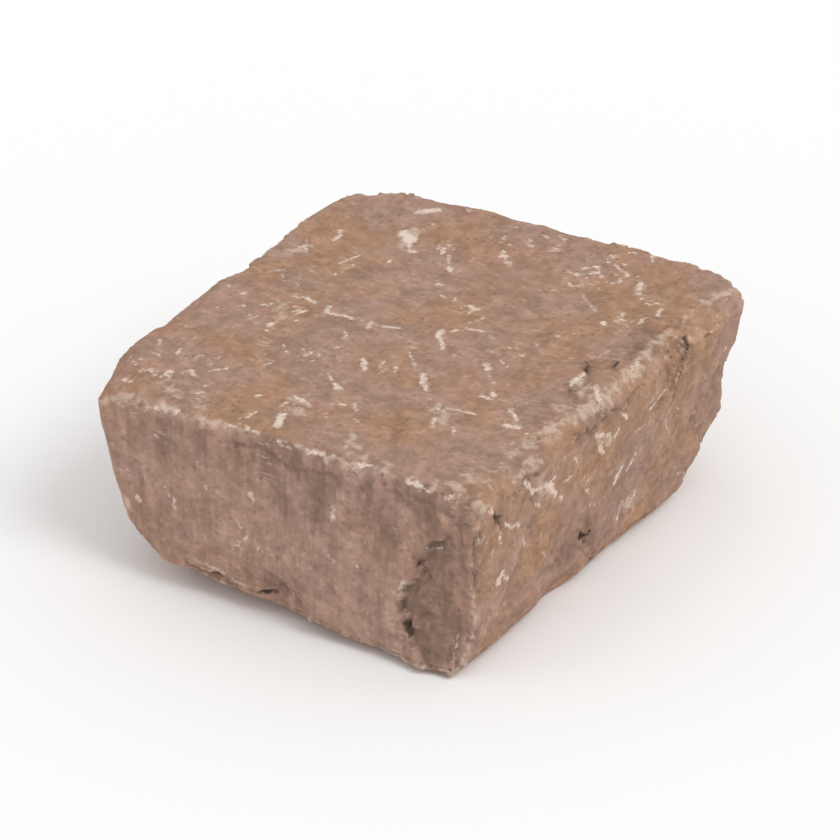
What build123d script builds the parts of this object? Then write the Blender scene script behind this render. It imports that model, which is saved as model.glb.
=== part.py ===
from build123d import *
from dataclasses import dataclass
from math import atan2, ceil, cos, degrees, pi, radians, sin, tan
from random import Random
import os

# A hand-split sandstone sett, tumbled after it was dressed.
# It lies on its flat bed with the riven head up. Millimetres, +Z up,
# +X to the right of the front face, +Y away from it.
# Every rough face starts as a flat plane through its arris with the head.
# Waste outside a gently swelling sheet over that plane is then knocked off.
# A bearing is the way that a face looks in plan, in degrees turned left from +X.
# A droop is how far a facet looks down, in degrees; a negative one looks up.
# A knock is how deep a facet takes a corner off, square to the facet.

# Driving sizes, measured between the planes of opposite faces at the head.
HEAD_WIDTH = 133.0
HEAD_LENGTH = 151.0
THICKNESS = 60.0

# The sett isn't quite square.
FRONT_BEARING = -88.3
RIGHT_BEARING = -0.8
REAR_BEARING = 93.0
LEFT_BEARING = 179.4

# How far each side leans in from the head down to the bed.
FRONT_UNDERCUT = 0.5
RIGHT_UNDERCUT = 8.5
REAR_UNDERCUT = 4.0
LEFT_UNDERCUT = 5.0

# How far each side, and each corner, swells out at half its height.
FRONT_BELLY = 0.6
RIGHT_BELLY = 2.2
REAR_BELLY = 1.0
LEFT_BELLY = 1.2
CORNER_BELLY = 2.0

# How far the front's foot is turned against its head arris, out at the near corner.
FRONT_TURN = 4.8

# The front's lower edge is broken away. From right of the middle it rises to the left,
# and the break runs in under the stone.
BREAK_START = 43.0
BREAK_RISE = 5.8
BREAK_SLOPE = 24.0

# Upright facets, from head to bed.
NEAR_BEARING = -46.0
NEAR_KNOCK = 0.8
LEFT_FRONT_BEARING = -126.0
LEFT_FRONT_KNOCK = 6.8
LEFT_SIDE_BEARING = -164.0
LEFT_SIDE_KNOCK = 7.2
REAR_LEFT_STEEP_BEARING = 126.0
REAR_LEFT_STEEP_KNOCK = 13.4
REAR_LEFT_SHALLOW_BEARING = 106.0
REAR_LEFT_SHALLOW_KNOCK = 8.4
FAR_BEARING = 52.0
FAR_KNOCK = 8.6
FAR_SIDE_BEARING = 20.0
FAR_SIDE_KNOCK = 3.8
FAR_BACK_BEARING = 76.0
FAR_BACK_KNOCK = 8.6

# Oblique facets, at the head or the foot of a corner.
LEFT_HEAD_BEARING = -149.0
LEFT_HEAD_DROOP = -57.0
LEFT_HEAD_KNOCK = 8.6
LEFT_FLANK_BEARING = -148.0
LEFT_FLANK_DROOP = 14.6
LEFT_FLANK_KNOCK = 11.8
LEFT_FOOT_BEARING = -148.0
LEFT_FOOT_DROOP = 45.0
LEFT_FOOT_KNOCK = 17.8
FAR_FLANK_BEARING = 32.0
FAR_FLANK_DROOP = 14.0
FAR_FLANK_KNOCK = 7.6
FAR_FOOT_BEARING = 32.0
FAR_FOOT_DROOP = 37.0
FAR_FOOT_KNOCK = 14.2

# Wear that tumbling leaves on the arrises, as a depth from the sharp edge.
HEAD_ARRIS_WEAR = 1.3
RIGHT_ARRIS_WEAR = 2.2
FOOT_ARRIS_WEAR = 0.8
ARRIS_DROOP = 45.0

# Shell-shaped scars where flakes came off: the ball's radius and how deep it bites.
# Heights are above the bed, and setbacks run along a side from the near corner.
NEAR_SCAR_RADIUS = 24.0
NEAR_SCAR_DEPTH = 5.2
NEAR_SCAR_SETBACK = 15.0
NEAR_SCAR_HEIGHT = 18.0
NEAR_SCAR_BEARING = -74.0
RIM_SCAR_RADIUS = 14.0
RIM_SCAR_DEPTH = 2.8
RIM_SCAR_SETBACK = 12.0
RIM_SCAR_HEIGHT = 31.0
HEAD_NICK_RADIUS = 14.0
HEAD_NICK_DEPTH = 3.0
HEAD_NICK_SETBACK = 12.0
HEAD_NICK_DROOP = -60.0
SCALLOP_RADIUS = 26.0
SCALLOP_DEPTH = 3.6
SCALLOP_SETBACK = 37.0
SCALLOP_DROOP = -40.0
FOOT_SCAR_RADIUS = 15.0
FOOT_SCAR_DEPTH = 2.0
FOOT_SCAR_SETBACK = 69.0
FOOT_SCAR_HEIGHT = 7.0
NOTCH_RADIUS = 34.0
NOTCH_DEPTH = 2.0
NOTCH_SETBACK = 52.0
NOTCH_DROOP = 20.0
LEDGE_RADIUS = 34.0
LEDGE_DEPTH = 8.6
LEDGE_HEIGHT = 27.0
LEDGE_BEARING = 32.0

# Small spalls along the arrises: one for so much length, with their range of radii and bites,
# and how far each may stray inside its own share of the length.
SPALL_SPACING = 28.0
SPALL_RADII = (9.0, 24.0)
SPALL_BITES = (0.4, 1.7)
SPALL_STRAY = (0.2, 0.8)

# Swells of the rough faces: each pair is a rise and the span from crest to crest.
RIVEN_SWELLS = ((0.55, 120.0), (0.35, 62.0), (0.16, 33.0))
HEWN_SWELLS = ((0.9, 96.0), (0.55, 47.0), (0.25, 27.0))
CORNER_SWELLS = ((0.5, 40.0), (0.3, 21.0))
ARRIS_SWELLS = ((0.42, 33.0), (0.22, 17.0))
SHEET_STEP = 6.0
ARRIS_STEP = 3.0
SHEET_TOLERANCE = 0.02

# Every rough face has a seed of its own, so each swells in its own way.
HEAD_SEED = 10
UPRIGHT_SEED = 20
OBLIQUE_SEED = 30
BREAK_SEED = 40
ARRIS_SEED = 100

# Stone left round the finished shape before it is dressed, and a fine measuring step.
SPARE = 7.0
WASTE_DEPTH = 70.0
FINE = 0.05


@dataclass
class Side:
    """One hewn side, by the way it faces, how far out its arris is and how it leans."""

    bearing: float
    reach: float
    undercut: float
    belly: float
    turn: float
    wear: float
    seed: int


FRONT = Side(FRONT_BEARING, HEAD_LENGTH / 2, FRONT_UNDERCUT, FRONT_BELLY, FRONT_TURN, HEAD_ARRIS_WEAR, 11)
RIGHT = Side(RIGHT_BEARING, HEAD_WIDTH / 2, RIGHT_UNDERCUT, RIGHT_BELLY, 0.0, RIGHT_ARRIS_WEAR, 12)
REAR = Side(REAR_BEARING, HEAD_LENGTH / 2, REAR_UNDERCUT, REAR_BELLY, 0.0, HEAD_ARRIS_WEAR, 13)
LEFT = Side(LEFT_BEARING, HEAD_WIDTH / 2, LEFT_UNDERCUT, LEFT_BELLY, 0.0, HEAD_ARRIS_WEAR, 14)
SIDES = (FRONT, RIGHT, REAR, LEFT)
SHEET_LENGTH = max(HEAD_WIDTH, HEAD_LENGTH) + 4 * SPARE


def toward(bearing, droop=0.0):
    """The direction that a facet faces, given its bearing in plan and how far it looks down."""
    level = cos(radians(droop))
    return Vector(cos(radians(bearing)) * level, sin(radians(bearing)) * level, -sin(radians(droop)))


def along(side):
    """The level direction along a side, which runs to the right when it is looked at."""
    return toward(side.bearing + 90)


def meeting(first, second, height):
    """The point where two sides would meet at a height, before their corner is knocked off."""
    fall = 1 - height / THICKNESS
    one = toward(first.bearing - first.turn * fall)
    two = toward(second.bearing - second.turn * fall)
    far_one = first.reach - first.undercut * fall
    far_two = second.reach - second.undercut * fall
    share = one.X * two.Y - one.Y * two.X
    x = (far_one * two.Y - far_two * one.Y) / share
    y = (far_two * one.X - far_one * two.X) / share
    return Vector(x, y, height)


def on_side(side, offset, height):
    """The point on a side's plane, so far to the right of its middle, at a height."""
    fall = 1 - height / THICKNESS
    out = side.reach - side.undercut * fall + offset * tan(radians(side.turn)) * fall
    return toward(side.bearing) * out + along(side) * offset + Vector(0, 0, height)


def facing(point, direction):
    """A plane through a point, facing a direction, with its own X level."""
    level = Vector(-direction.Y, direction.X, 0)
    if level.length < 1e-6:
        level = Vector(1, 0, 0)
    return Plane(origin=point, x_dir=level, z_dir=direction)


def waste(plane, width, height, swells, seed, step=SHEET_STEP, belly=0.0, turn=0.0):
    """Everything outside one rough face, from a sheet that swells over the face's plane."""
    chance = Random(seed)
    waves = [(rise, span, chance.uniform(0, pi), chance.uniform(0, 2 * pi)) for rise, span in swells]

    def relief(u, v):
        swell = belly * (1 - (2 * v / height) ** 2) + u * tan(radians(turn)) * (0.5 - v / THICKNESS)
        for rise, span, way, start in waves:
            swell += rise * sin(2 * pi * (u * cos(way) + v * sin(way)) / span + start)
        return swell

    columns, rows = ceil(width / step), ceil(height / step)
    points = []
    for i in range(columns + 1):
        u = (i / columns - 0.5) * width
        heights = [(j / rows - 0.5) * height for j in range(rows + 1)]
        points.append([Vector(u, v, relief(u, v)) for v in heights])
    sheet = Face.make_surface_from_array_of_points(points, tol=SHEET_TOLERANCE, min_deg=3)
    return plane.location * Solid.extrude(sheet, Vector(0, 0, WASTE_DEPTH))


def side_waste(side):
    """The waste outside one hewn side, which leans in towards the bed."""
    lean = degrees(atan2(side.undercut, THICKNESS))
    plane = facing(on_side(side, 0, THICKNESS / 2), toward(side.bearing, lean))
    height = THICKNESS + 3 * SPARE
    return waste(plane, SHEET_LENGTH, height, HEWN_SWELLS, side.seed, belly=side.belly, turn=side.turn)


def upright_waste(first, second, bearing, knock, seed):
    """The waste outside one facet that takes a corner off from head to bed."""
    head, bed = meeting(first, second, THICKNESS), meeting(first, second, 0)
    out = toward(bearing)
    lean = degrees(atan2((head - bed).dot(out), THICKNESS))
    plane = facing((head + bed) * 0.5 - out * knock, toward(bearing, lean))
    width = 4 * knock + 4 * SPARE
    return waste(plane, width, THICKNESS + 3 * SPARE, CORNER_SWELLS, seed, belly=CORNER_BELLY)


def oblique_waste(corner, bearing, droop, knock, seed):
    """The waste outside one slanting facet that takes off a corner's head or foot."""
    out = toward(bearing, droop)
    size = 5 * knock + 4 * SPARE
    return waste(facing(corner - out * knock, out), size, size, CORNER_SWELLS, seed)


def broken_edge_waste(side, start, rise, slope, seed):
    """The waste under a side's lower edge, which rises to the left from its start."""
    climb = tan(radians(rise))
    out = toward(side.bearing) * tan(radians(slope)) - along(side) * climb - Vector(0, 0, 1)
    plane = facing(on_side(side, 0, 0) + Vector(0, 0, start * climb), out.normalized())
    return waste(plane, SHEET_LENGTH, SHEET_LENGTH, CORNER_SWELLS, seed)


def arris_waste(side, height, droop, wear):
    """The strip worn off the edge between a side and the head or the bed."""
    out = toward(side.bearing, droop)
    plane = facing(on_side(side, 0, height) - out * wear, out)
    seed = side.seed + ARRIS_SEED
    return waste(plane, SHEET_LENGTH, 4 * SPARE, ARRIS_SWELLS, seed, step=ARRIS_STEP)


def scar(point, direction, radius, depth):
    """A shell-shaped flake scar: a ball that bites so deep into the stone at a point."""
    return Pos(*(point + direction * (radius - depth))) * Sphere(radius)


def front_scar(setback, height, direction, radius, depth):
    """A flake scar on the front, so far from the near corner, at a height."""
    return scar(on_side(FRONT, HEAD_WIDTH / 2 - setback, height), direction, radius, depth)


def arris_spalls(side, height, droop, wear):
    """Small flake scars at uneven places along one worn arris."""
    chance = Random(side.seed + round(droop))
    length = HEAD_LENGTH if side in (LEFT, RIGHT) else HEAD_WIDTH
    count = int(length / SPALL_SPACING)
    spalls = []
    for i in range(count):
        offset = (i + chance.uniform(*SPALL_STRAY)) * length / count - length / 2
        bite = wear + chance.uniform(*SPALL_BITES)
        point = on_side(side, offset, height)
        spalls.append(scar(point, toward(side.bearing, droop), chance.uniform(*SPALL_RADII), bite))
    return spalls


rough = Box(
    HEAD_WIDTH + 6 * SPARE,
    HEAD_LENGTH + 4 * SPARE,
    THICKNESS + SPARE,
    align=(Align.CENTER, Align.CENTER, Align.MIN),
)
head_plane = facing(Vector(0, 0, THICKNESS), Vector(0, 0, 1))
head_size = SHEET_LENGTH + 2 * SPARE
sett = rough - waste(head_plane, head_size, head_size, RIVEN_SWELLS, HEAD_SEED)

for side in SIDES:
    sett -= side_waste(side)

UPRIGHT_FACETS = (
    (FRONT, RIGHT, NEAR_BEARING, NEAR_KNOCK),
    (FRONT, LEFT, LEFT_FRONT_BEARING, LEFT_FRONT_KNOCK),
    (FRONT, LEFT, LEFT_SIDE_BEARING, LEFT_SIDE_KNOCK),
    (REAR, LEFT, REAR_LEFT_STEEP_BEARING, REAR_LEFT_STEEP_KNOCK),
    (REAR, LEFT, REAR_LEFT_SHALLOW_BEARING, REAR_LEFT_SHALLOW_KNOCK),
    (REAR, RIGHT, FAR_BEARING, FAR_KNOCK),
    (REAR, RIGHT, FAR_SIDE_BEARING, FAR_SIDE_KNOCK),
    (REAR, RIGHT, FAR_BACK_BEARING, FAR_BACK_KNOCK),
)
for seed, facet in enumerate(UPRIGHT_FACETS, start=UPRIGHT_SEED):
    sett -= upright_waste(*facet, seed)

left_head = meeting(FRONT, LEFT, THICKNESS)
left_foot = meeting(FRONT, LEFT, 0)
far_foot = meeting(REAR, RIGHT, 0)
OBLIQUE_FACETS = (
    (left_head, LEFT_HEAD_BEARING, LEFT_HEAD_DROOP, LEFT_HEAD_KNOCK),
    (left_foot, LEFT_FLANK_BEARING, LEFT_FLANK_DROOP, LEFT_FLANK_KNOCK),
    (left_foot, LEFT_FOOT_BEARING, LEFT_FOOT_DROOP, LEFT_FOOT_KNOCK),
    (far_foot, FAR_FLANK_BEARING, FAR_FLANK_DROOP, FAR_FLANK_KNOCK),
    (far_foot, FAR_FOOT_BEARING, FAR_FOOT_DROOP, FAR_FOOT_KNOCK),
)
for seed, facet in enumerate(OBLIQUE_FACETS, start=OBLIQUE_SEED):
    sett -= oblique_waste(*facet, seed)

sett -= broken_edge_waste(FRONT, BREAK_START, BREAK_RISE, BREAK_SLOPE, BREAK_SEED)

for side in SIDES:
    sett -= arris_waste(side, THICKNESS, -ARRIS_DROOP, side.wear)
    for spall in arris_spalls(side, THICKNESS, -ARRIS_DROOP, side.wear):
        sett -= spall

# The front's own foot is the break, so it has no worn strip.
for side in (RIGHT, REAR, LEFT):
    sett -= arris_waste(side, 0, ARRIS_DROOP, FOOT_ARRIS_WEAR)
    for spall in arris_spalls(side, 0, ARRIS_DROOP, FOOT_ARRIS_WEAR):
        sett -= spall

outward = toward(FRONT_BEARING)
near_way = toward(NEAR_SCAR_BEARING)
nick_way = toward(FRONT_BEARING, HEAD_NICK_DROOP)
scallop_way = toward(FRONT_BEARING, SCALLOP_DROOP)
sett -= front_scar(NEAR_SCAR_SETBACK, NEAR_SCAR_HEIGHT, near_way, NEAR_SCAR_RADIUS, NEAR_SCAR_DEPTH)
sett -= front_scar(RIM_SCAR_SETBACK, RIM_SCAR_HEIGHT, outward, RIM_SCAR_RADIUS, RIM_SCAR_DEPTH)
sett -= front_scar(HEAD_NICK_SETBACK, THICKNESS, nick_way, HEAD_NICK_RADIUS, HEAD_NICK_DEPTH)
sett -= front_scar(SCALLOP_SETBACK, THICKNESS, scallop_way, SCALLOP_RADIUS, SCALLOP_DEPTH)
sett -= front_scar(FOOT_SCAR_SETBACK, FOOT_SCAR_HEIGHT, outward, FOOT_SCAR_RADIUS, FOOT_SCAR_DEPTH)

notch = on_side(RIGHT, NOTCH_SETBACK - HEAD_LENGTH / 2, 0)
sett -= scar(notch, toward(RIGHT_BEARING, NOTCH_DROOP), NOTCH_RADIUS, NOTCH_DEPTH)
ledge = meeting(REAR, RIGHT, LEDGE_HEIGHT)
sett -= scar(ledge, toward(LEDGE_BEARING), LEDGE_RADIUS, LEDGE_DEPTH)

# The origin goes under the middle of the finished stone.
surface_points = sett.tessellate(FINE)[0]
middle_x = (min(point.X for point in surface_points) + max(point.X for point in surface_points)) / 2
middle_y = (min(point.Y for point in surface_points) + max(point.Y for point in surface_points)) / 2
sett = Pos(-middle_x, -middle_y, 0) * sett
sett.label = "sett"
sett.color = Color(0.52, 0.36, 0.28)

os.makedirs("parts", exist_ok=True)
export_step(sett, "parts/sett.step")
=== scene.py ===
import itertools
import math

import bmesh
import bpy
import numpy as np
from bpy.props import FloatProperty, FloatVectorProperty, IntProperty, PointerProperty
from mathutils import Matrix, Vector


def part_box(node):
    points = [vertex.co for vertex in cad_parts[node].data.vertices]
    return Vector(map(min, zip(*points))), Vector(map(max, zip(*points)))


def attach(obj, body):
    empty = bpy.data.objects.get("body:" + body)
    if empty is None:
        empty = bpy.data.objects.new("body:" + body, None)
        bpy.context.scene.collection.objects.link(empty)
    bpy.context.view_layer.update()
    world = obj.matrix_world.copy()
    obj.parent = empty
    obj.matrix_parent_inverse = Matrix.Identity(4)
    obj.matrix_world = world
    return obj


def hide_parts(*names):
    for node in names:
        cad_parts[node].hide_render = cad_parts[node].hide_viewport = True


bl_info = {
    "name": "Sandstone sett",
    "version": (1, 0, 0),
    "blender": (4, 5, 0),
    "location": "View3D > Sidebar > Sett",
    "description": "Dresses a sett's solid as split and tumbled sandstone, and sets a pale stage under it",
    "category": "Object",
}

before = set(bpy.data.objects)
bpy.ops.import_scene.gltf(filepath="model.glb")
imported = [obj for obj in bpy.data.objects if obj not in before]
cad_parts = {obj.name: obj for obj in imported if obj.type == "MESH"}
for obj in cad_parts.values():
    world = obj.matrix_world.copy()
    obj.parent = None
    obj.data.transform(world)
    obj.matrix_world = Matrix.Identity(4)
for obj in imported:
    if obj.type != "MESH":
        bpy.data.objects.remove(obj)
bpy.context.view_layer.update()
NODE = "sett"
LOW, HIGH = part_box(NODE)
MM = 0.001
WHITE = (1, 1, 1, 1)

# The skin: welding distance, share of one smoothing pass, and passes for the two evened-out copies
WELD = 1e-7
SMOOTHING = 0.5
CALM_PASSES = 25
BEND_PASSES = 6

# Kept off zero where something is divided by an area or a length
NO_ZERO_AREA = 1e-30
NO_ZERO_LENGTH = 1e-9

# Layers of noise: size of the largest features, octaves, share that each octave keeps, and seed
LAYERS = {
    "hackle": (15 * MM, 4, 0.62, 101),
    "side grain": (2.6 * MM, 2, 0.7, 151),
    "arris grain": (3 * MM, 2, 0.7, 161),
    "head swells": (34 * MM, 4, 0.5, 301),
    "head grain": (3 * MM, 2, 0.5, 351),
    "scar grain": (5 * MM, 3, 0.5, 451),
    "stray across": (3 * MM, 2, 0.5, 501),
    "stray up": (3 * MM, 2, 0.5, 511),
}
FLUTE_SIZE, FLUTE_SEED = np.array([11, 11, 90]) * MM, 201
NOISE_GAIN = 1.6  # brings gradient noise to about -1 to 1
SLOTS = 256  # length of the noise's shuffled tables, a power of two

# Cells of two sizes: size, share and seed. Then how far their walls stray, and which cells are chips
CHIP_CELLS = ((8 * MM, 0.65, 401), (3.6 * MM, 0.35, 411))
SCOOP_CELLS = ((14 * MM, 0.7, 421), (6 * MM, 0.3, 431))
CHIP_STRAY, CHIP_STRAY_SIZE = 0.8 * MM, 3 * MM
SCOOP_STRAY = 0.25  # of the cell's size
CHIPPED = (0.25, 0.95)

# From nothing to a full mask: how squarely a vertex faces a side, how much of a face's mask a mark needs,
# how far an arris stands out, how deep a scar or pit is, and how sharply the skin bends
FACING = (0.35, 0.75)
FACE_FADE = (0.0, 0.4)
ARRIS_STANDS = (0.12 * MM, 0.9 * MM)
SCAR_DEEP = (0.4 * MM, 2.4 * MM)
PIT_OPEN = (0.4, 0.9)
HOLLOW_BEND = (0.0, -0.3 * MM)
RIDGE_BEND = (0.05 * MM, 0.45 * MM)

# Flake scars: width of the step at a rim, how squarely a place lies behind it, and raggedness
RIM_STEP = (0, 1.0 * MM)
RIM_BEHIND = (0, 0.8)
SCAR_RAGGED = 0.35

# Shares of the relief: the scoops that the front goes without, and what the bed keeps
FRONT_WITHOUT = 0.5
BED_KEEPS = 0.2

# The front's left upright arris kept its edge: its x and y in millimetres, and how far from it the
# chips and the scoops begin and the full-size edge ends
KEPT_ARRIS = (-62, -73)
CHIPS_BEGIN = (5 * MM, 16 * MM)
SCOOPS_BEGIN = (4 * MM, 20 * MM)
EDGE_HELD = (14 * MM, 5 * MM)

# Marks: least share of a face's mask, run-out of a stroke's edge, strength and its seed, and how far the
# places of each kind stray
MARK_REACH = 0.02
STROKE_SOFTNESS = 2.4 * MM
MARK_STRENGTH, MARK_SEED = (0.8, 1.0), 3
STRAY = {"scuff": 0.5 * MM, "pit": 1.0 * MM, "bruise": 1.5 * MM, "stain_and_shade": 1.5 * MM, "flake": 1.9 * MM}
CLOUDY = 0.8  # more run-out for bruises, and for stains and painted shade, as a share of their width

# Scattered scuffs, in millimetres where they are lengths
SCUFF_SEED = 7
SCUFF_SPREAD = (1.0, 6.0)
SCUFF_STROKES = (1, 7)
SCUFF_TURN = 0.6
SCUFF_HALF_LENGTH, SCUFF_LENGTH_SPREAD = 0.8, 0.7
SCUFF_WIDTH = (0.5, 1.3)
SCUFF_STRENGTH = (0.6, 0.95)
SCUFF_REACH = 3 * MM
SCUFFS_MORE = {"front": -0.3, "head": 0.15}  # how much more they show than elsewhere

# Sizes of the finish's patterns
PATTERN = {
    "rosy patches": 30 * MM,
    "dull patches": 16 * MM,
    "scratched patches": 12 * MM,
    "mottle": 6 * MM,
    "smears": 4.5 * MM,
    "stain blotches": 4 * MM,
    "bruise blotches": 3.2 * MM,
    "grain": 2.6 * MM,
    "specks": 2.1 * MM,
    "scuff gaps": 1.9 * MM,
    "scuff edges": 1.4 * MM,
    "scratches": 1.0 * MM,
}

# How patterns are drawn out into strokes, by axis, and the ways that the scratches run
SCRATCH_DRAWN = (0.16, 1, 1)
SMEAR_DRAWN = (1, 1, 0.15)
SCRATCH_TURNS = ((0, 0, 0.5), (0, 0, 1.7), (0, 0.3, 2.6), (0, 1.3, 0.4))

# How much of a colour shows at most where its mask is full
SHOWS = {
    "olive": 0.45, "umber": 0.6, "smears": 0.3, "scar": 0.95, "stain_and_shade": 0.62, "scratches": 0.5,
    "bruise": 0.62, "scuff": 0.9, "hollow_shade": 0.5, "pit_shade": 0.9,
}

# The masks that the finish reads from the mesh
FINISH_MASKS = ("head", "front", "arris", "scar", "pit", "hollow_shade", "ridge", "scuff", "bruise", "stain_and_shade")


class SettShape(bpy.types.PropertyGroup):
    """Sizes of the stone's relief."""

    mesh_step: FloatProperty(
        name="Mesh step", description="Spacing of the stone's vertices", default=0.9 * MM, unit="LENGTH"
    )
    softening: IntProperty(
        name="Softening", description="Passes that round the solid's crisp edges", default=2, min=0
    )
    side_relief: FloatProperty(
        name="Side relief",
        description="Depth of the hewn sides' hackly relief",
        default=0.5 * MM,
        unit="LENGTH",
    )
    side_grain: FloatProperty(
        name="Side grain",
        description="Depth of the hewn sides' sugary grain",
        default=0.14 * MM,
        unit="LENGTH",
    )
    flute_depth: FloatProperty(
        name="Flute depth",
        description="Depth of the front's shallow upright flutes",
        default=0.35 * MM,
        unit="LENGTH",
    )
    head_relief: FloatProperty(
        name="Head relief", description="Depth of the riven head's swells", default=0.25 * MM, unit="LENGTH"
    )
    head_grain: FloatProperty(
        name="Head grain", description="Depth of the riven head's grain", default=0.05 * MM, unit="LENGTH"
    )
    chip_depth: FloatProperty(
        name="Chip depth", description="Depth of the chips along the arrises", default=1.9 * MM, unit="LENGTH"
    )
    arris_grain: FloatProperty(
        name="Arris grain", description="Depth of the arrises' ragged grain", default=0.35 * MM, unit="LENGTH"
    )
    scoop_depth: FloatProperty(
        name="Scoop depth",
        description="Depth of the shallow scoops on the hewn sides",
        default=0.9 * MM,
        unit="LENGTH",
    )
    pit_depth: FloatProperty(
        name="Pit depth", description="Depth of the dark pits and cracks", default=1.3 * MM, unit="LENGTH"
    )
    scuff_clusters: IntProperty(
        name="Scuff clusters", description="Groups of pale strokes that tumbling left", default=230, min=0
    )


class SettFinish(bpy.types.PropertyGroup):
    """Colours of the stone."""

    warm: FloatVectorProperty(
        name="Warm brown",
        description="Orange-brown body colour",
        subtype="COLOR",
        default=(0.412, 0.236, 0.149),
    )
    rose: FloatVectorProperty(
        name="Rose brown", description="Pinker body colour", subtype="COLOR", default=(0.4, 0.25, 0.192)
    )
    olive: FloatVectorProperty(
        name="Olive brown", description="Duller body colour", subtype="COLOR", default=(0.31, 0.195, 0.13)
    )
    umber: FloatVectorProperty(
        name="Umber",
        description="Greyer brown of the hewn front",
        subtype="COLOR",
        default=(0.475, 0.303, 0.235),
    )
    # Partly painted shade: this grey-brown darkens the smears and stains, and also paints shade in the flake
    # scars, the hollows and just under the arrises.
    stain_and_shade: FloatVectorProperty(
        name="Stain", description="Grey-brown of smears and scars", subtype="COLOR", default=(0.17, 0.11, 0.08)
    )
    # Painted shade: this near-black brown fills the pits and cracks.
    dark: FloatVectorProperty(
        name="Dark pockets",
        description="Brown of pits and cracks",
        subtype="COLOR",
        default=(0.045, 0.025, 0.017),
    )
    pale: FloatVectorProperty(
        name="Scuffs", description="Cream crushed stone of scuffs", subtype="COLOR", default=(0.82, 0.67, 0.57)
    )
    bruised: FloatVectorProperty(
        name="Bruises",
        description="Grey-white crushed stone of bruises",
        subtype="COLOR",
        default=(0.68, 0.53, 0.42),
    )


class SettStage(bpy.types.PropertyGroup):
    """Floor, light and camera."""

    floor: FloatVectorProperty(
        name="Floor", description="Floor colour", subtype="COLOR", default=(0.9, 0.9, 0.9)
    )
    floor_size: FloatProperty(name="Floor size", description="Side of the floor", default=30.0, unit="LENGTH")
    sky: FloatProperty(name="Sky", description="Strength of the even light all round", default=0.78)
    key: FloatProperty(
        name="Key", description="Strength of the large soft light, in watts a square metre", default=0.9
    )
    key_spread: FloatProperty(
        name="Key spread",
        description="How wide the soft light looks",
        default=math.radians(28),
        subtype="ANGLE",
    )
    key_bearing: FloatProperty(
        name="Key bearing",
        description="Where the light comes from, turned from the front",
        default=math.radians(80),
        subtype="ANGLE",
    )
    key_height: FloatProperty(
        name="Key height", description="How high the light stands", default=math.radians(50), subtype="ANGLE"
    )
    camera_bearing: FloatProperty(
        name="Camera bearing",
        description="Turned from the front",
        default=math.radians(31.72),
        subtype="ANGLE",
    )
    camera_height: FloatProperty(
        name="Camera height", description="Angle above the floor", default=math.radians(29.5), subtype="ANGLE"
    )
    camera_distance: FloatProperty(
        name="Camera distance", description="Camera to the middle of the stone", default=2.02, unit="LENGTH"
    )
    lens: FloatProperty(name="Lens", description="Focal length in millimetres", default=300.0)


# Marks on the faces. Each runs from one place on its face to another and has a width,
# all in millimetres. A place is x, y on the head, x, z on the front and rear, and y, z on the right and left.

FACE_AXES = {"head": (0, 1), "front": (0, 2), "right": (1, 2), "rear": (0, 2), "left": (1, 2)}

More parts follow.
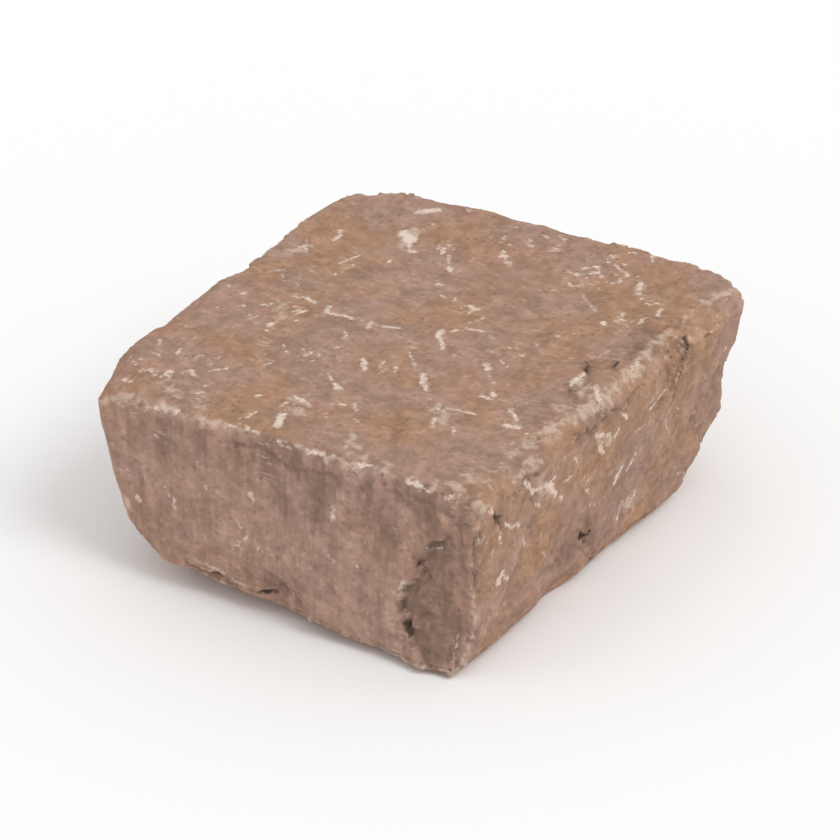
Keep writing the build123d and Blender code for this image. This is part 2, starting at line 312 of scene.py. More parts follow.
SCUFFED = {
    "head": (
        ((-38, 61), (-34, 65), 3.0), ((-35, 48), (-31, 45), 4.0), ((-30, 43), (-28, 40), 1.5),
        ((-5, 54), (-4, 51), 2.0), ((-3, 52), (1, 48), 1.6), ((-18, 45), (-15, 40), 1.0),
        ((-13, 38), (-12, 36), 1.8), ((-30, 32), (-30, 30), 1.4), ((-51, 38), (-51, 35), 1.4),
        ((-60, 28), (-58, 26), 1.2), ((-57, 27), (-54, 25), 1.6), ((-59, 31), (-56, 28), 1.0),
        ((-6, 22), (-5, 21), 1.6), ((-2, 23), (-1, 21), 1.6), ((5, 20), (7, 20), 2.0),
        ((6, 19), (7, 16), 1.0), ((-47, 10), (-46, 9), 1.5), ((-52, 8), (-49, 4), 1.0),
        ((-45, 6), (-44, 3), 1.0), ((-38, -1), (-34, -2), 2.2), ((-30, -1), (-28, -5), 1.6),
        ((-28, -6), (-20, -5), 1.3), ((-20, -5), (-9, -4), 0.8), ((-14, -4), (-13, -7), 1.8),
        ((-9, -4), (-5, -3), 1.0), ((-36, -7), (-36, -11), 1.3), ((6, 2), (7, -2), 2.2),
        ((8, -2), (12, -7), 1.4), ((8, 3), (12, 7), 1.2), ((12, 7), (17, 8), 1.4), ((17, 8), (21, 5), 1.4),
        ((-17, -13), (-15, -16), 1.4), ((-5, -23), (-1, -28), 1.8), ((-8, -36), (-5, -39), 1.0),
        ((-3, -40), (-1, -42), 2.6), ((27, -8), (29, -10), 2.2), ((30, -12), (34, -16), 1.0),
        ((37, -21), (38, -22), 2.0), ((15, -22), (17, -26), 2.0), ((17, -25), (20, -29), 2.0),
        ((5, -14), (10, -19), 0.9), ((27, -34), (30, -38), 1.4), ((31, -35), (40, -34), 1.0),
        ((50, -35), (53, -34), 2.2), ((46, -27), (47, -28), 1.4), ((31, -42), (33, -47), 1.4),
        ((38, -43), (40, -47), 1.0), ((3, -49), (5, -48), 1.2), ((7, -46), (9, -49), 1.2),
        ((-18, -58), (-18, -57), 1.6), ((-9, -52), (-3, -54), 1.6), ((-10, -55), (-9, -59), 1.2),
        ((-7, -62), (-5, -68), 2.2), ((27, 45), (37, 37), 1.0), ((42, 32), (43, 31), 1.8),
        ((39, 59), (41, 54), 1.6), ((41, 54), (44, 51), 1.4), ((33, 76), (36, 71), 1.4),
        ((22, 76), (24, 75), 1.4), ((24, 68), (25, 63), 1.2), ((17, 54), (21, 53), 1.2),
        ((52, 48), (53, 44), 1.4), ((53, 3), (54, -6), 1.6), ((60, -2), (63, -7), 2.0),
        ((-52, -46), (-51, -49), 1.2), ((-45, -46), (-45, -49), 1.2), ((-40, -48), (-40, -50), 1.0),
        ((-14, -65), (-14, -69), 1.2), ((-27, 72), (-26, 70), 1.4), ((-60, -58), (-58, -60), 1.2),
        ((-57, -52), (-55, -52), 1.0), ((-60, -44), (-59, -47), 1.1), ((-53, -60), (-50, -62), 1.2),
        ((-58, -66), (-54, -68), 1.4), ((-48, -62), (-46, -60), 1.0), ((-56, 8), (-53, 11), 1.2),
        ((-48, 16), (-45, 14), 1.1),
    ),
    "front": (
        ((-36, 31), (-35, 28), 1.6), ((-38, 34), (-37, 31), 1.0), ((-10, 39), (-9, 37), 1.8),
        ((-16, 20), (-13, 23), 1.0), ((-12, 24), (-11, 26), 1.1), ((-15, 29), (-13, 28), 1.0),
        ((-48, 27), (-47, 25), 1.2), ((18, 44), (18, 39), 1.0), ((17, 28), (18, 27), 1.2),
        ((46, 38), (52, 40), 0.9), ((43, 59), (45, 57), 1.4), ((42, 28), (40, 24), 1.1),
        ((-54, 56), (-49, 57), 1.0), ((-42, 58), (-34, 59), 1.2), ((-29, 59), (-24, 59), 0.9),
        ((-19, 59), (-8, 59), 1.1), ((-2, 59), (3, 58), 1.0), ((9, 58.5), (17, 59), 1.0),
        ((24, 58), (29, 58.5), 1.1), ((41, 58), (49, 57.5), 1.2), ((53, 57), (57, 58), 0.9),
        ((-28, 12), (-20, 10.5), 1.0), ((-20, 10), (-12, 8.5), 1.2), ((56, 12), (56, 5), 0.9),
        ((25, 28), (26, 27), 1.0), ((-41, 50), (-40, 49), 1.0),
    ),
    "right": (
        ((-50, 54), (-47, 51), 1.8), ((-47, 51), (-44, 47), 2.0), ((-44, 48), (-39, 47), 1.4),
        ((-38, 47), (-34, 45), 2.8), ((-35, 45), (-32, 41), 2.0), ((-42, 43), (-40, 41), 1.5),
        ((-61, 46), (-58, 44), 1.5), ((-57, 43), (-54, 42), 1.3), ((-53, 42), (-51, 40), 1.5),
        ((-63, 44), (-62, 40), 1.6), ((-65, 39), (-65, 37), 1.1), ((-60, 26), (-58, 28), 2.4),
        ((-57, 26), (-55, 25), 1.6), ((-29, 39), (-28, 37), 1.2), ((-11, 50), (-8, 49), 1.8),
        ((-6, 48), (-4, 46), 1.6), ((-2, 46), (0, 47), 1.5), ((-9, 45), (-7, 43), 1.6),
        ((2, 51), (4, 49), 1.8), ((17, 45), (25, 48), 1.4), ((2, 28), (5, 32), 1.8), ((9, 29), (13, 32), 1.5),
        ((15, 13), (18, 17), 1.5), ((8, 12), (10, 17), 1.3), ((-15, 34), (-14, 33), 1.3),
        ((-36, 24), (-35, 22), 1.2), ((42, 11), (44, 10), 1.0), ((-22, 48), (-20, 46), 1.2),
        ((-25, 42), (-23, 43), 1.1), ((-47, 34), (-46, 31), 1.2), ((30, 34), (32, 31), 1.1),
        ((-70, 55), (-68, 53), 1.3),
    ),
}

BRUISED = {
    "head": (
        ((-46, -64), (-38, -68), 5.0), ((-38, -66), (-28, -70), 4.0), ((-58, -74), (-22, -75), 3.5),
        ((16, -62), (20, -67), 4.5), ((54, -62), (57, -65), 4.5), ((53, -69), (57, -71), 3.5),
        ((-34, 49), (-31, 44), 8.0), ((39, 59), (45, 51), 5.0), ((-58, 68), (-46, 75), 3.0),
        ((61, -66), (60, -52), 3.2), ((60, -50), (60, -38), 3.8), ((60, -38), (62, -24), 4.4),
        ((62, -24), (64, -8), 5.0), ((64, -8), (64, 6), 4.6), ((64, 6), (62, 20), 4.2),
        ((62, 20), (60, 34), 3.2), ((60, 34), (61, 56), 2.4), ((61, 58), (63, 68), 4.0),
        ((56, -2), (60, -10), 3.0), ((56, -18), (61, -16), 3.0), ((64, 66), (67, 52), 1.6),
        ((67, 48), (66, 36), 1.4), ((64, 33), (66, 24), 1.4), ((60, 47), (61, 42), 2.0),
        ((-8, -54), (-4, -58), 5.0), ((20, -70), (34, -69), 2.5), ((-43, -8), (-37, -15), 5.0),
        ((53, -1), (57, -6), 4.0), ((-56, 28), (-59, 20), 4.0), ((29, -37), (34, -42), 5.0),
        ((-18, 73), (4, 75), 2.0),
    ),
    "front": (
        ((-58, 58), (-22, 59), 4.0), ((-60, 30), (-52, 23), 4.0), ((10, 59), (32, 58), 2.5),
    ),
    "right": (
        ((-42, 49), (-36, 44), 5.0), ((-9, 47), (-2, 45), 4.0), ((70, 58), (73, 44), 4.0),
        ((-54, 58), (-42, 58), 3.0), ((10, 16), (17, 13), 3.0),
    ),
}

# Dark marks: the front's upright smears are the stone's own stains; those along the head's flake rims, inside
# the front scar's rim and just under the right face's top arris are painted shade.
STAINED_AND_SHADED = {
    "front": (
        ((-8, 58), (-6, 48), 12.0), ((2, 58), (4, 52), 8.0), ((12, 58), (12, 48), 8.0),
        ((22, 58), (24, 50), 8.0), ((40, 58), (58, 54), 12.0), ((46, 50), (58, 42), 12.0),
        ((-9, 12), (0, 10), 8.0), ((-27, 57), (-26, 50), 7.0), ((-38, 57), (-38, 44), 5.0),
        ((48, 30), (44, 12), 4.0), ((47, 36), (45, 12), 9.0), ((43, 20), (45, 10), 5.0),
        ((-2, 46), (2, 38), 9.0), ((30, 52), (34, 40), 11.0), ((52, 36), (53, 6), 11.0),
        ((12, 48), (11, 40), 8.0), ((-16, 56), (-18, 46), 6.0),
    ),
    "right": (
        ((-74, 48), (-72, 30), 9.0), ((-66, 51), (-62, 47), 5.0), ((-48, 47), (-44, 44), 6.0),
        ((-22, 54), (-14, 50), 6.0), ((36, 58), (40, 48), 6.0), ((30, 56), (24, 46), 4.0),
        ((-12, 22), (-4, 10), 7.0), ((-30, 18), (-20, 15), 6.0), ((-10, 57), (-6, 54), 4.0),
        ((-50, 57), (-46, 54), 4.0), ((-76, 24), (-70, 14), 5.0),
    ),
    "head": (
        ((50, 9), (55, 0), 4.0), ((55, -5), (56, -10), 4.0), ((56, 27), (58, 22), 5.0),
        ((57, 14), (59, 9), 4.0), ((54, 38), (57, 33), 6.0), ((21, -44), (28, -58), 2.6),
        ((62, -42), (63, -46), 3.0), ((-50, -9), (-44, -10), 5.0),
    ),
}

# Pits and cracks: each is dented, and painted near-black for the shade inside it.
PITTED = {
    "front": (
        ((42, 14), (44, 11), 2.6), ((45, 33), (43, 28), 1.3), ((-27, 9), (-21, 8), 1.4),
        ((-8, 7), (-3, 8), 2.0), ((56, 21), (57, 19), 1.4),
    ),
    "right": (
        ((-14, 19), (-11, 15), 1.4), ((-12, 16), (-9, 15), 2.8), ((-10, 15), (-8, 12), 2.0),
        ((-9, 17), (-7, 16), 1.2), ((-5, 5), (-1, 1), 1.6), ((-3, 4), (1, 2), 1.2), ((43, 62), (39, 57), 1.5),
        ((39, 57), (36, 52), 1.7), ((36, 52), (33, 45), 1.3), ((33, 45), (31, 40), 0.9),
        ((33, 61), (30, 56), 1.1), ((30, 56), (27, 48), 0.8), ((-67, 52), (-65, 48), 1.6),
        ((-66, 49), (-62, 49), 1.2), ((-64, 48), (-63, 46), 1.8), ((-46, 46), (-44, 44), 1.2),
    ),
    "head": (
        ((50, 9), (54, 3), 1.4), ((58, 13), (59, 10), 1.8), ((54, -6), (55, -9), 1.4),
    ),
}

# Flake scars: a rim, the drop along it and how far the drop runs out. The broken side lies to the left
# of the way that the rim's places run, with the face's first axis drawn to the right.

FLAKED = {
    "front": (
        (((50, 42), (47, 37), (44, 31), (41, 25), (40, 19), (42, 13), (45, 9), (47, 4), (50, -2)), 2.6, 17),
        (((10, 5), (3, 11), (-4, 12), (-10, 8)), 0.45, 8),
        (((-17, 8), (-24, 10), (-31, 11)), 1.3, 4),
        (((60, 52), (50, 55), (40, 53), (33, 57)), 0.9, 14),
        (((18, 55), (8, 53), (-4, 55), (-14, 56)), 0.8, 9),
    ),
    "right": (
        (((32, 46), (36, 52), (39, 57), (44, 62)), 1.4, 8),
        (((23, 43), (27, 51), (31, 58)), 0.8, 6),
        (((-6, 56), (-13, 54), (-19, 56), (-24, 55)), 1.4, 6),
        (((-44, 55), (-50, 56), (-56, 54)), 1.1, 6),
        (((12, 57), (4, 54), (-2, 56)), 1.0, 6),
        (((-32, 20), (-14, 12), (-2, 3), (2, -2)), 1.0, 12),
        (((64, 40), (52, 36), (46, 28), (50, 18)), 0.9, 14),
    ),
    "rear": (
        (((-50, 48), (-38, 44), (-28, 47), (-12, 42)), 1.2, 12),
        (((52, 30), (40, 24), (34, 12), (38, 2)), 1.6, 13),
        (((6, 20), (-6, 24), (-16, 18), (-20, 6)), 1.1, 10),
        (((30, 58), (22, 54), (10, 56)), 1.3, 6),
        (((-44, 22), (-50, 12), (-48, 2)), 1.2, 8),
    ),
    "left": (
        (((56, 50), (40, 46), (30, 50), (18, 47)), 1.2, 10),
        (((-6, 56), (-18, 53), (-26, 56)), 1.2, 6),
        (((-20, 34), (-36, 30), (-44, 18), (-40, 4)), 1.5, 14),
        (((44, 26), (30, 22), (24, 8)), 1.1, 11),
        (((10, 30), (2, 22), (-4, 10)), 0.9, 9),
    ),
    "head": (
        (((60, 46), (57, 38), (58, 33), (60, 28), (56, 24), (59, 16)), 0.8, 8),
        (((50, 12), (53, 4), (54, 0), (54, -6), (57, -11)), 0.9, 9),
        (((60, -34), (59, -44), (62, -52)), 0.7, 7),
        (((28, -58), (25, -51), (21, -44)), 0.35, 5),
        (((-30, -68), (-44, -61), (-58, -62)), 0.5, 12),
    ),
}


# Noise over points in metres

def gradient_noise(points, size, seed):
    """Smooth noise from about -1 to 1 with features of one size, which may differ by axis."""
    chance = np.random.default_rng(seed)
    table = chance.permutation(SLOTS)
    slopes = chance.normal(size=(SLOTS, 3))
    slopes /= np.linalg.norm(slopes, axis=1)[:, None]
    scaled = points / size
    cell = np.floor(scaled).astype(int)
    part = scaled - cell
    fade = part ** 3 * (part * (part * 6 - 15) + 10)
    total = np.zeros(len(points))
    for corner in itertools.product((0, 1), repeat=3):
        share = np.prod(np.where(corner, fade, 1 - fade), axis=1)
        total += share * np.einsum("ij,ij->i", slopes[hashed(table, cell + corner)], part - corner)
    return total * NOISE_GAIN


def fractal_noise(points, size, octaves, keep, seed):
    """Gradient noise summed over octaves, each half the size and keep times the height of the last."""
    total = np.zeros(len(points))
    height = 1.0
    for octave in range(octaves):
        total += height * gradient_noise(points, np.asarray(size) / 2 ** octave, seed + octave)
        height *= keep
    return total


def layer(points, name):
    """One of the named layers of noise."""
    return fractal_noise(points, *LAYERS[name])


def cell_noise(points, size, seed):
    """Distance to the nearest of scattered seeds, in cell sizes, and that seed's random number."""
    chance = np.random.default_rng(seed)
    table = chance.permutation(SLOTS)
    jitter = chance.uniform(size=(SLOTS, 3))
    number = chance.uniform(size=SLOTS)
    scaled = points / size
    cell = np.floor(scaled).astype(int)
    nearest = np.full(len(points), np.inf)
    owner = np.zeros(len(points))
    for step in itertools.product((-1, 0, 1), repeat=3):
        spot = cell + step
        pick = hashed(table, spot)
        distance = np.linalg.norm(spot + jitter[pick] - scaled, axis=1)
        owner = np.where(distance < nearest, number[pick], owner)
        nearest = np.minimum(distance, nearest)
    return nearest, owner


def hashed(table, cells):
    """A place in the noise's tables for each cell, from a shuffled table."""
    last = SLOTS - 1
    cells = cells & last
    return table[(table[(table[cells[:, 0]] + cells[:, 1]) & last] + cells[:, 2]) & last]


def ease(low, high, values):
    """0 below low, 1 above high, and a smooth rise between; low may lie above high."""
    share = np.clip((values - low) / (high - low), 0, 1)
    return share * share * (3 - 2 * share)


# The stone's mesh

class Skin:
    """The stone's surface as arrays, for relief and masks."""

    def __init__(self, mesh):
        self.points = np.empty(len(mesh.vertices) * 3)
        mesh.vertices.foreach_get("co", self.points)
        self.points = self.points.reshape(-1, 3)
        self.edges = np.empty(len(mesh.edges) * 2, dtype=np.int32)
        mesh.edges.foreach_get("vertices", self.edges)
        self.edges = self.edges.reshape(-1, 2)
        self.quads = np.empty(len(mesh.loops), dtype=np.int32)
        mesh.loops.foreach_get("vertex_index", self.quads)
        self.quads = self.quads.reshape(-1, 4)
        self.ties = np.bincount(self.edges.ravel(), minlength=len(self.points)).astype(float)

    def smoothed(self, passes):
        """The points, evened out along the edges."""
        values = self.points.copy()
        start, end = self.edges.T
        for _ in range(passes):
            for column in values.T:
                around = np.bincount(start, column[end], len(column))
                around = around + np.bincount(end, column[start], len(column))
                column += SMOOTHING * (around / self.ties - column)
        return values

    def normals(self, points):
        """Outward directions at the vertices, with these as their places."""
        corners = points[self.quads]
        across = np.cross(corners[:, 2] - corners[:, 0], corners[:, 3] - corners[:, 1])
        total = np.zeros_like(points)
        for axis in range(3):
            total[:, axis] = np.bincount(self.quads.ravel(), np.repeat(across[:, axis], 4), len(points))
        return total / (np.linalg.norm(total, axis=1)[:, None] + NO_ZERO_AREA)


def voxel_mesh(source, step):
    """An even, closed mesh over a solid's shape."""
    mesh = source.data.copy()
    work = bmesh.new()
    work.from_mesh(mesh)
    bmesh.ops.remove_doubles(work, verts=work.verts, dist=WELD)
    work.to_mesh(mesh)
    work.free()
    carrier = bpy.data.objects.new("carrier", mesh)
    bpy.context.scene.collection.objects.link(carrier)
    voxels = carrier.modifiers.new("voxels", "REMESH")
    voxels.mode = "VOXEL"
    voxels.voxel_size = step
    graph = bpy.context.evaluated_depsgraph_get()
    even = bpy.data.meshes.new_from_object(carrier.evaluated_get(graph))
    bpy.data.objects.remove(carrier)
    bpy.data.meshes.remove(mesh)
    return even


def facing_masks(normals):
    """How far each vertex belongs to the head, the bed and each side."""
    ways = {
        "head": (2, 1), "bed": (2, -1), "front": (1, -1), "rear": (1, 1), "right": (0, 1), "left": (0, -1),
    }
    return {name: ease(*FACING, normals[:, axis] * sign) for name, (axis, sign) in ways.items()}


def stroke(places, start, end, width, soft):
    """How deep each place lies inside one stroke: half at its edge, changing evenly over a soft width."""
    run = end - start
    share = np.clip((places - start) @ run / (run @ run), 0, 1)
    distance = np.linalg.norm(places - start - share[:, None] * run, axis=1)
    return np.clip(0.5 + (width / 2 - distance) / soft, 0, 1)


def on_face(skin, masks, face, wobble):
    """The vertices of one face, and their places on it, strayed a little for uneven edges."""
    reach = np.flatnonzero(masks[face] > MARK_REACH)
    points = skin.points[reach]
    stray = np.stack([layer(points, name) for name in ("stray across", "stray up")], axis=1)
    return reach, points[:, FACE_AXES[face]] + wobble * stray


def marked(skin, masks, marks, kind, soften=0.0):
    """Marks of one kind laid on their faces, each with a strength of its own."""
    values = np.zeros(len(skin.points))
    chance = np.random.default_rng(MARK_SEED)
    for face, strokes in marks.items():
        reach, places = on_face(skin, masks, face, STRAY[kind])
        laid = np.zeros(len(reach))
        for start, end, width in strokes:
            soft = STROKE_SOFTNESS + soften * width * MM
            depth = stroke(places, np.array(start) * MM, np.array(end) * MM, width * MM, soft)
            laid = np.maximum(laid, chance.uniform(*MARK_STRENGTH) * depth)
        values[reach] = np.maximum(values[reach], laid * ease(*FACE_FADE, masks[face][reach]))
    return values


def flaked(skin, masks):
    """Depth of the flake scars, in metres: sharp along each rim, and running out behind it."""
    depths = np.zeros(len(skin.points))
    for face, scars in FLAKED.items():
        reach, places = on_face(skin, masks, face, STRAY["flake"])
        for rim, drop, run in scars:
            rim = np.array(rim) * MM
            nearest = np.full(len(reach), np.inf)
            inside = np.zeros(len(reach))
            for start, end in zip(rim, rim[1:]):
                way = (end - start) / np.linalg.norm(end - start)
                share = np.clip((places - start) @ way, 0, np.linalg.norm(end - start))
                offset = places - start - share[:, None] * way
                distance = np.linalg.norm(offset, axis=1)
                left = (way[0] * offset[:, 1] - way[1] * offset[:, 0]) / (distance + NO_ZERO_LENGTH)
                inside = np.where(distance < nearest, left, inside)
                nearest = np.minimum(distance, nearest)
            depth = drop * MM * ease(*RIM_STEP, nearest) * ease(run * MM, 0, nearest)
            depth = depth * ease(*RIM_BEHIND, inside)
            depths[reach] = np.maximum(depths[reach], depth * ease(*FACE_FADE, masks[face][reach]))
    return depths


def chips(points):
    """Flat-bottomed chips of two sizes, from 0 where nothing came off to about 1."""
    total = np.zeros(len(points))
    for size, share, seed in CHIP_CELLS:
        strayed = points + CHIP_STRAY * gradient_noise(points, CHIP_STRAY_SIZE, seed)[:, None]
        total += share * ease(*CHIPPED, cell_noise(strayed, size, seed)[1])
    return total


def scoops(points):
    """Shallow scoops with sharp ridges between them, as a chisel leaves, from 0 to about 1."""
    total = np.zeros(len(points))
    for size, share, seed in SCOOP_CELLS:
        strayed = points + SCOOP_STRAY * size * gradient_noise(points, size, seed)[:, None]
        total += share * cell_noise(strayed, size, seed)[0]
    return total


def carve(skin, shape):
    """Gives the skin its relief, and returns the masks that the finish needs."""
    hard = skin.points.copy()
    skin.points = skin.smoothed(shape.softening)
    calm = skin.smoothed(CALM_PASSES)
    normals = skin.normals(calm)
    masks = facing_masks(normals)
    masks["arris"] = ease(*ARRIS_STANDS, np.einsum("ij,ij->i", hard - calm, normals))
    sides = 1 - np.maximum(masks["head"], masks["bed"])

    from_kept = np.linalg.norm(skin.points[:, :2] - np.array(KEPT_ARRIS) * MM, axis=1)
    held = ease(*EDGE_HELD, from_kept)
    points = skin.points + held[:, None] * (hard - skin.points)
    relief = shape.side_relief * sides * layer(points, "hackle")
    relief += shape.side_grain * sides * layer(points, "side grain")
    hackly = sides * (1 - FRONT_WITHOUT * masks["front"]) * ease(*SCOOPS_BEGIN, from_kept)
    relief += shape.scoop_depth * hackly * (scoops(points) - 0.5)
    relief += shape.flute_depth * masks["front"] * gradient_noise(points, FLUTE_SIZE, FLUTE_SEED)
    relief += shape.head_relief * masks["head"] * layer(points, "head swells")
    relief += shape.head_grain * masks["head"] * layer(points, "head grain")
    worn = shape.chip_depth * chips(points) * ease(*CHIPS_BEGIN, from_kept)
    relief -= masks["arris"] * (worn + shape.arris_grain * layer(points, "arris grain"))
    scar = flaked(skin, masks)
    relief -= scar * (1 + SCAR_RAGGED * layer(points, "scar grain"))
    masks["pit"] = marked(skin, masks, PITTED, "pit")
    relief -= shape.pit_depth * ease(*PIT_OPEN, masks["pit"])
    relief[masks["bed"] > 0.5] *= BED_KEEPS
    relief += held * (np.maximum(relief, 0) - relief)
    skin.points = points + normals * relief[:, None]
    skin.points = np.clip(skin.points, np.array(LOW), np.array(HIGH))

    bend = np.einsum("ij,ij->i", skin.points - skin.smoothed(BEND_PASSES), skin.normals(skin.points))
    # How deep the flake scars lie; the finish darkens them with it, partly the broken stone's greyer brown and
    # partly painted shade under the rims.
    masks["scar"] = ease(*SCAR_DEEP, scar)
    # Where the skin bends inward; the finish paints shade there.
    masks["hollow_shade"] = ease(*HOLLOW_BEND, bend)
    masks["ridge"] = ease(*RIDGE_BEND, bend)
    return masks


def scuffs(skin, masks, count):
    """Groups of short pale strokes that tumbling left, at uneven places all over the stone."""
    points, normals = skin.points, skin.normals(skin.points)
    chance = np.random.default_rng(SCUFF_SEED)
    laid = np.zeros(len(points))
    for _ in range(count):
        middle = chance.integers(len(points))
        way = np.cross(normals[middle], chance.normal(size=3))
        spread = chance.uniform(*SCUFF_SPREAD) * MM
        for _ in range(chance.integers(*SCUFF_STROKES)):
            place = points[middle] + np.cross(normals[middle], chance.normal(size=3)) * spread
            turn = np.cross(normals[middle], chance.normal(size=3)) * SCUFF_TURN
            length = chance.lognormal(math.log(SCUFF_HALF_LENGTH * MM), SCUFF_LENGTH_SPREAD)
            half = (way + turn) / np.linalg.norm(way + turn) * length
            near = np.flatnonzero(np.abs(points - place).max(axis=1) < np.linalg.norm(half) + SCUFF_REACH)
            width = chance.uniform(*SCUFF_WIDTH) * MM
            values = stroke(points[near], place - half, place + half, width, STROKE_SOFTNESS)
            laid[near] = np.maximum(laid[near], chance.uniform(*SCUFF_STRENGTH) * values)
    return laid * (1 + SCUFFS_MORE["front"] * masks["front"] + SCUFFS_MORE["head"] * masks["head"])


# Node helpers

class Sheet:
    """Short calls that add nodes to one node tree and link them."""

    def __init__(self, tree):
        self.tree = tree

    def add(self, kind, inputs=(), **settings):
        node = self.tree.nodes.new(kind)
        for name, value in settings.items():
            setattr(node, name, value)
        for key, value in dict(inputs).items():
            if isinstance(value, bpy.types.NodeSocket):
                self.tree.links.new(value, node.inputs[key])
            else:
                node.inputs[key].default_value = value
        return node

    def math(self, operation, first, second):
        return self.add("ShaderNodeMath", {0: first, 1: second}, operation=operation).outputs[0]

    def plus(self, first, second):
        return self.math("ADD", first, second)

    def minus(self, first, second):
        return self.math("SUBTRACT", first, second)

    def times(self, first, second):
        return self.math("MULTIPLY", first, second)

    def most(self, first, second):
        return self.math("MAXIMUM", first, second)

    def ease(self, value, low, high):
        inputs = {"Value": value, "From Min": low, "From Max": high}
        return self.add("ShaderNodeMapRange", inputs, interpolation_type="SMOOTHSTEP").outputs[0]

    def mix(self, share, first, second, blend="MIX"):
        inputs = {0: share, 6: first, 7: second}
        return self.add("ShaderNodeMix", inputs, data_type="RGBA", blend_type=blend).outputs[2]

    def tinted(self, colour, tint):
        return self.mix(1.0, colour, tint, "MULTIPLY")

    def noise(self, vector, size, detail, roughness=0.5):
        inputs = {"Vector": vector, "Scale": 1 / size, "Detail": detail, "Roughness": roughness}
        return self.add("ShaderNodeTexNoise", inputs).outputs["Fac"]

    def drawn(self, vector, scale, turn=(0, 0, 0)):
        return self.add("ShaderNodeMapping", {"Vector": vector, "Rotation": turn, "Scale": scale}).outputs[0]

    def mask(self, name):
        return self.add("ShaderNodeAttribute", attribute_name=name).outputs["Fac"]


def rgba(colour):
    return (*colour, 1.0)


def grey(value):
    return (value, value, value, 1)


def scratches(sheet, place, turn):
    """Fine short strokes that all run one way, from noise drawn out along it."""
    drawn = sheet.drawn(place, SCRATCH_DRAWN, turn)
    return sheet.ease(sheet.noise(drawn, PATTERN["scratches"], 2, roughness=0.6), 0.63, 0.72)


def body_colour(sheet, place, finish):
    """The stone's own colours, in soft patches, with upright smears on the front, and dark marks that are
    partly painted shade.
    """
    rosy = sheet.ease(sheet.noise(place, PATTERN["rosy patches"], 3, roughness=0.55), 0.38, 0.6)
    body = sheet.mix(rosy, rgba(finish.warm), rgba(finish.rose))
    dull = sheet.ease(sheet.noise(place, PATTERN["dull patches"], 3, roughness=0.6), 0.45, 0.7)
    body = sheet.mix(sheet.times(dull, SHOWS["olive"]), body, rgba(finish.olive))
    body = sheet.mix(sheet.times(sheet.mask("front"), SHOWS["umber"]), body, rgba(finish.umber))
    mottle = sheet.ease(sheet.noise(place, PATTERN["mottle"], 2), 0.32, 0.68)
    body = sheet.tinted(body, sheet.mix(mottle, (0.88, 0.87, 0.86, 1), grey(1.09)))
    smears = sheet.noise(sheet.drawn(place, SMEAR_DRAWN), PATTERN["smears"], 3, roughness=0.6)
    upright = sheet.times(sheet.ease(smears, 0.42, 0.7), sheet.mask("front"))
    body = sheet.mix(sheet.times(upright, SHOWS["smears"]), body, rgba(finish.stain_and_shade))
    blotch = sheet.noise(place, PATTERN["stain blotches"], 3, roughness=0.65)
    blotch = sheet.mix(sheet.mask("front"), blotch, smears)
    # Stains, with painted shade along the flake rims and under the arrises.
    stain_and_shade = sheet.ease(sheet.plus(sheet.times(sheet.mask("stain_and_shade"), 0.6), blotch), 0.6, 1.22)
    # Flake scars darkest where deepest, just behind each rim: partly their greyer brown, partly painted shade.
    stain_and_shade = sheet.most(stain_and_shade, sheet.times(sheet.mask("scar"), SHOWS["scar"]))
    return sheet.mix(sheet.times(stain_and_shade, SHOWS["stain_and_shade"]), body, rgba(finish.stain_and_shade))


def specks(sheet, place):
    """Scattered dark and pale grains, as a tint to multiply by."""
    cells = sheet.add("ShaderNodeTexVoronoi", {"Vector": place, "Scale": 1 / PATTERN["specks"]}).outputs
    grain = sheet.ease(cells["Distance"], 0.46, 0.22)
    kind = sheet.add("ShaderNodeSeparateColor", {"Color": cells["Color"]}).outputs[0]
    dark = sheet.times(grain, sheet.ease(kind, 0.62, 0.72))
    pale = sheet.times(grain, sheet.ease(kind, 0.36, 0.26))
    tint = sheet.mix(dark, WHITE, (0.84, 0.825, 0.81, 1))
    return sheet.mix(pale, tint, grey(1.17))


def scuffed(sheet, place):
    """Mask of the crisp pale scuffs, broken up by the grain."""
    ragged = sheet.noise(place, PATTERN["scuff edges"], 3, roughness=0.7)
    scuff = sheet.ease(sheet.plus(sheet.mask("scuff"), sheet.times(ragged, 1.3)), 1.02, 1.36)
    fine = scratches(sheet, place, SCRATCH_TURNS[0])
    for turn in SCRATCH_TURNS[1:]:
        fine = sheet.most(fine, scratches(sheet, place, turn))
    gathered = sheet.ease(sheet.noise(place, PATTERN["scratched patches"], 3, roughness=0.6), 0.5, 0.66)
    scuff = sheet.most(scuff, sheet.times(sheet.times(fine, gathered), SHOWS["scratches"]))
    patchy = sheet.ease(sheet.noise(place, PATTERN["scuff gaps"], 2), 0.3, 0.62)
    return sheet.times(scuff, sheet.plus(sheet.times(patchy, 0.4), 0.6))


def bruised(sheet, place, grain_tone):
    """Mask of the softer bruises along worn arrises and ridges and round the scuffs."""
    unstained_unshaded = sheet.minus(1.0, sheet.most(sheet.mask("stain_and_shade"), sheet.mask("scar")))
    ridge = sheet.times(sheet.mask("ridge"), unstained_unshaded)
    worn = sheet.times(sheet.most(sheet.mask("arris"), sheet.times(ridge, 1.2)), 0.45)
    worn = sheet.most(worn, sheet.times(sheet.mask("bruise"), 0.66))
    worn = sheet.most(worn, sheet.times(sheet.mask("scuff"), 0.5))
    cloud = sheet.noise(place, PATTERN["bruise blotches"], 4, roughness=0.7)
    broken = sheet.plus(cloud, sheet.times(grain_tone, 0.45))
    return sheet.ease(sheet.plus(worn, broken), 1.0, 1.3)


